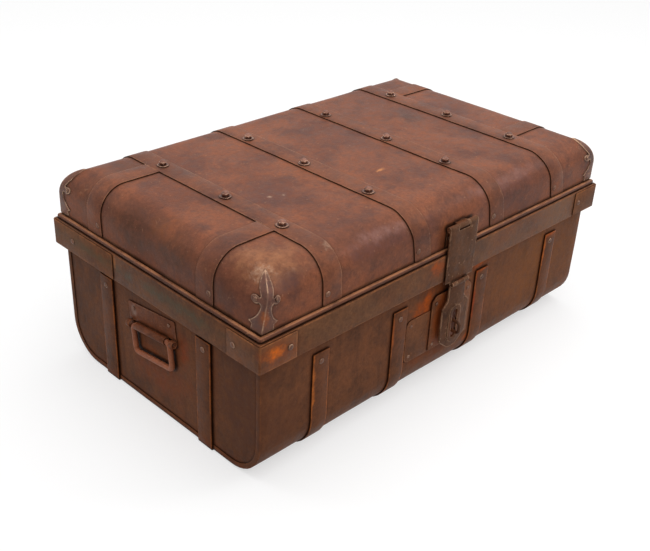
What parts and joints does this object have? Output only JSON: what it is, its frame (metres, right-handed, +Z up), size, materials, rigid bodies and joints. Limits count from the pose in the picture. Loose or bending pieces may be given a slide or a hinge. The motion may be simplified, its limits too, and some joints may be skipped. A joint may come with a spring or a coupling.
{
  "type": "trunk",
  "caption": "Riveted sheet-steel storage trunk with a low rolled-edge lid, iron straps, folded rim band, slotted hasp over a staple and drop handles.",
  "frame": {"origin": "middle of the footprint, on the floor plane that the undersides of the hoops touch", "axes": "+X along the trunk to its right end as seen from the front, +Y to the hinged back, +Z up; the hasp is on the -Y side"},
  "size_m": [0.7668, 0.494, 0.3269],
  "materials": {
    "body_sheet": "old brown paint on sheet steel, matt, with rust blooms",
    "lid_sheet": "old brown paint on sheet steel, rubbed to a dull shine, with worn corners",
    "strap_iron": "old brown paint on strap iron, rubbed bare at the bends",
    "rim_iron": "old brown paint on angle iron, with orange rust at the corners",
    "hardware_iron": "rusted wrought iron",
    "rivet_iron": "rusted iron, heads rubbed bright at their edges"
  },
  "bodies": {
    "trunk": {"body_wrap": "body_sheet", "left_end_panel": "body_sheet", "right_end_panel": "body_sheet", "rim_front": "rim_iron", "rim_back": "rim_iron", "rim_left": "rim_iron", "rim_right": "rim_iron", "rim_corner_front_left": "rim_iron", "rim_corner_front_right": "rim_iron", "rim_corner_back_left": "rim_iron", "rim_corner_back_right": "rim_iron", "rim_rivets": "rivet_iron", "body_hoop_1": "strap_iron", "body_hoop_2": "strap_iron", "body_hoop_3": "strap_iron", "body_hoop_4": "strap_iron", "left_end_hoop_front": "strap_iron", "left_end_hoop_back": "strap_iron", "right_end_hoop_front": "strap_iron", "right_end_hoop_back": "strap_iron", "body_hoop_rivets": "rivet_iron", "left_hinge_body_leaf": "hardware_iron", "right_hinge_body_leaf": "hardware_iron", "left_hinge_pin": "hardware_iron", "right_hinge_pin": "hardware_iron", "lock_backing_plate": "hardware_iron", "staple_plate": "hardware_iron", "hasp_staple": "hardware_iron", "left_handle_clip": "hardware_iron", "right_handle_clip": "hardware_iron", "body_small_rivets": "rivet_iron"},
    "lid": {"lid_shell": "lid_sheet", "lid_wired_edge": "lid_sheet", "lid_strap_1": "strap_iron", "lid_strap_2": "strap_iron", "lid_strap_3": "strap_iron", "lid_strap_4": "strap_iron", "lid_end_strap_front_left": "strap_iron", "lid_end_strap_back_left": "strap_iron", "lid_end_strap_front_right": "strap_iron", "lid_end_strap_back_right": "strap_iron", "lid_strap_rivets": "rivet_iron", "lid_stud_washers": "rivet_iron", "lid_studs": "rivet_iron", "lid_corner_leaf_front_left": "strap_iron", "lid_corner_leaf_front_right": "strap_iron", "lid_corner_leaf_back_left": "strap_iron", "lid_corner_leaf_back_right": "strap_iron", "lid_small_rivets": "rivet_iron", "left_hinge_lid_leaf": "hardware_iron", "right_hinge_lid_leaf": "hardware_iron", "hasp_hinge_plate": "hardware_iron", "hasp_top_pin": "hardware_iron"},
    "hasp_leaf": {"hasp_leaf": "hardware_iron", "hasp_link_pin": "hardware_iron"},
    "hasp_link": {"hasp_link": "hardware_iron"},
    "left_handle": {"left_handle": "hardware_iron"},
    "right_handle": {"right_handle": "hardware_iron"}
  },
  "joints": [
    {"name": "lid_open", "type": "hinge", "parent": "trunk", "child": "lid", "pos_m": [0, 0.239, 0.238], "axis": [-1, 0, 0], "range_deg": [0, 105]},
    {"name": "hasp_leaf_swing", "type": "hinge", "parent": "lid", "child": "hasp_leaf", "pos_m": [0.01, -0.2315, 0.274], "axis": [-1, 0, 0], "range_deg": [0, 165]},
    {"name": "hasp_link_swing", "type": "hinge", "parent": "hasp_leaf", "child": "hasp_link", "pos_m": [0.01, -0.2373, 0.182], "axis": [-1, 0, 0], "range_deg": [0, 110]},
    {"name": "left_handle_swing", "type": "hinge", "parent": "trunk", "child": "left_handle", "pos_m": [-0.37316, 0.006, 0.134], "axis": [0, 0.9925, -0.1219], "range_deg": [0, 150]},
    {"name": "right_handle_swing", "type": "hinge", "parent": "trunk", "child": "right_handle", "pos_m": [0.37316, 0.006, 0.134], "axis": [0, -1, 0], "range_deg": [0, 150]}
  ]
}
